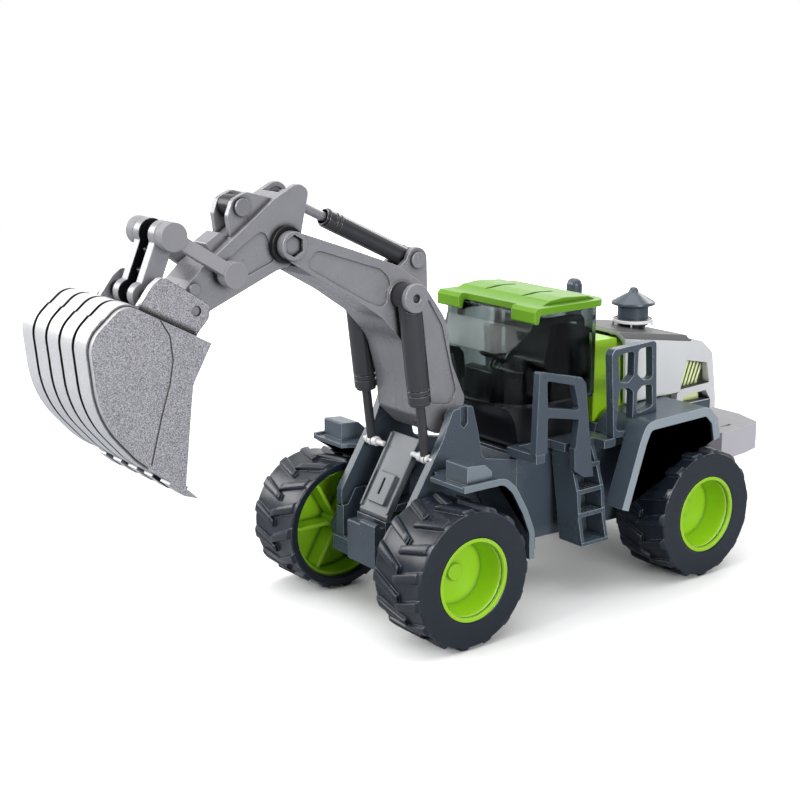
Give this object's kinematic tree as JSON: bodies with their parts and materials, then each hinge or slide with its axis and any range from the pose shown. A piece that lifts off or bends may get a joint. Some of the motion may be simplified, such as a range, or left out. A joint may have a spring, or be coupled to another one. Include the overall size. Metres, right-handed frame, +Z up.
{
  "type": "toy excavator",
  "caption": "Large push-along toy digger: wheeled carrier with glazed cab, hood, ladders and lugged tyres, and a folding front arm with linked cylinders and bucket.",
  "frame": {"origin": "on the floor under the middle of the overall length and width", "axes": "+X forwards towards the bucket, +Y to the toy's left, +Z up"},
  "size_m": [0.4826, 0.1586, 0.2497],
  "materials": {
    "slate_plastic": "satin moulded",
    "lime_plastic": "gloss moulded",
    "silver_plastic": "satin, faint metallic",
    "arm_plastic": "satin, faint metallic",
    "bucket_plastic": "fine speckled metallic",
    "black_plastic": "gloss moulded",
    "white_plastic": "gloss",
    "clear_plastic": "clear, smoked",
    "tyre_rubber": "soft matte",
    "steel": "drawn bar"
  },
  "bodies": {
    "carrier": {"chassis": "slate_plastic", "tower_left": "slate_plastic", "tower_right": "slate_plastic", "center_cover": "slate_plastic", "front_bumper": "slate_plastic", "tower_pins": "white_plastic", "front_fender_left": "slate_plastic", "front_fender_right": "slate_plastic", "cab_base": "black_plastic", "cab_glass": "clear_plastic", "cab_frame": "black_plastic", "cab_roof": "lime_plastic", "seat": "black_plastic", "steering_wheel": "black_plastic", "dashboard": "black_plastic", "side_step_left": "slate_plastic", "side_step_right": "slate_plastic", "handrail_left": "slate_plastic", "handrail_right": "slate_plastic", "guard_left": "slate_plastic", "guard_right": "slate_plastic", "rear_fender_left": "slate_plastic", "rear_fender_right": "slate_plastic", "engine_body": "lime_plastic", "hood_top": "silver_plastic", "rear_shroud": "silver_plastic", "rear_grille": "lime_plastic", "air_intake": "slate_plastic", "exhaust_pipe": "slate_plastic", "counterweight": "silver_plastic", "body_screws": "steel"},
    "front_wheels": {"front_axle": "steel", "front_rim_left": "lime_plastic", "front_rim_right": "lime_plastic", "front_tyre_left": "tyre_rubber", "front_tyre_right": "tyre_rubber"},
    "rear_wheels": {"rear_axle": "steel", "rear_rim_left": "lime_plastic", "rear_rim_right": "lime_plastic", "rear_tyre_left": "tyre_rubber", "rear_tyre_right": "tyre_rubber"},
    "boom": {"boom_left": "arm_plastic", "boom_right": "arm_plastic", "boom_pins": "arm_plastic", "stick_pivot_bolts": "arm_plastic"},
    "boom_barrels": {"boom_barrel_left": "arm_plastic", "boom_barrel_right": "arm_plastic"},
    "boom_rods": {"boom_rod_left": "arm_plastic", "boom_rod_right": "arm_plastic"},
    "stick_cylinder_barrel": {"stick_barrel": "arm_plastic"},
    "stick_cylinder_rod": {"stick_rod": "arm_plastic"},
    "stick": {"stick_frame": "arm_plastic", "stick_pins": "black_plastic"},
    "dog_bones": {"dog_bone_left": "arm_plastic", "dog_bone_right": "arm_plastic"},
    "link": {"h_link": "arm_plastic"},
    "bucket": {"bucket_shell": "bucket_plastic", "bucket_bracket": "bucket_plastic", "bucket_pins": "arm_plastic"}
  },
  "joints": [
    {"name": "front_wheels_roll", "type": "hinge", "parent": "carrier", "child": "front_wheels", "pos_m": [0.0437, 0, 0.04], "axis": [0, 1, 0], "continuous": true},
    {"name": "rear_wheels_roll", "type": "hinge", "parent": "carrier", "child": "rear_wheels", "pos_m": [-0.1416, 0, 0.04], "axis": [0, 1, 0], "continuous": true},
    {"name": "boom_lift", "type": "hinge", "parent": "carrier", "child": "boom", "pos_m": [0.014, 0, 0.1135], "axis": [0, -1, 0], "range_deg": [-28, 10]},
    {"name": "boom_rod_swing", "type": "hinge", "parent": "carrier", "child": "boom_rods", "pos_m": [0.0343, 0, 0.094], "axis": [0, -1, 0], "range_deg": [-24.88, 9.53]},
    {"name": "boom_barrel_swing", "type": "hinge", "parent": "boom", "child": "boom_barrels", "pos_m": [0.0461, 0, 0.1865], "axis": [0, -1, 0], "range_deg": [-2.47, 5.12]},
    {"name": "stick_swing", "type": "hinge", "parent": "boom", "child": "stick", "pos_m": [0.1162, 0, 0.2196], "axis": [0, -1, 0], "range_deg": [-25, 15]},
    {"name": "stick_barrel_swing", "type": "hinge", "parent": "boom", "child": "stick_cylinder_barrel", "pos_m": [0.0278, 0, 0.2031], "axis": [0, -1, 0], "range_deg": [-1.8, 1.48]},
    {"name": "stick_rod_swing", "type": "hinge", "parent": "stick", "child": "stick_cylinder_rod", "pos_m": [0.1067, 0, 0.241], "axis": [0, -1, 0], "range_deg": [-15.58, 25.3]},
    {"name": "bucket_curl", "type": "hinge", "parent": "stick", "child": "bucket", "pos_m": [0.1757, 0, 0.193], "axis": [0, -1, 0], "range_deg": [-20, 40]},
    {"name": "dog_bone_swing", "type": "hinge", "parent": "stick", "child": "dog_bones", "pos_m": [0.1532, 0, 0.2085], "axis": [0, -1, 0], "range_deg": [-13.78, 26.56]},
    {"name": "link_swing", "type": "hinge", "parent": "bucket", "child": "link", "pos_m": [0.1973, 0, 0.2012], "axis": [0, -1, 0], "range_deg": [-35.68, 18.34]}
  ],
  "couplings": [
    {"joint": "boom_rod_swing", "follows": "boom_lift", "ratio": 0.853},
    {"joint": "boom_barrel_swing", "follows": "boom_lift", "ratio": -0.147},
    {"joint": "stick_rod_swing", "follows": "stick_swing", "ratio": -0.972},
    {"joint": "stick_barrel_swing", "follows": "stick_swing", "ratio": 0.032},
    {"joint": "dog_bone_swing", "follows": "bucket_curl", "ratio": 0.639},
    {"joint": "link_swing", "follows": "bucket_curl", "ratio": -0.867}
  ]
}
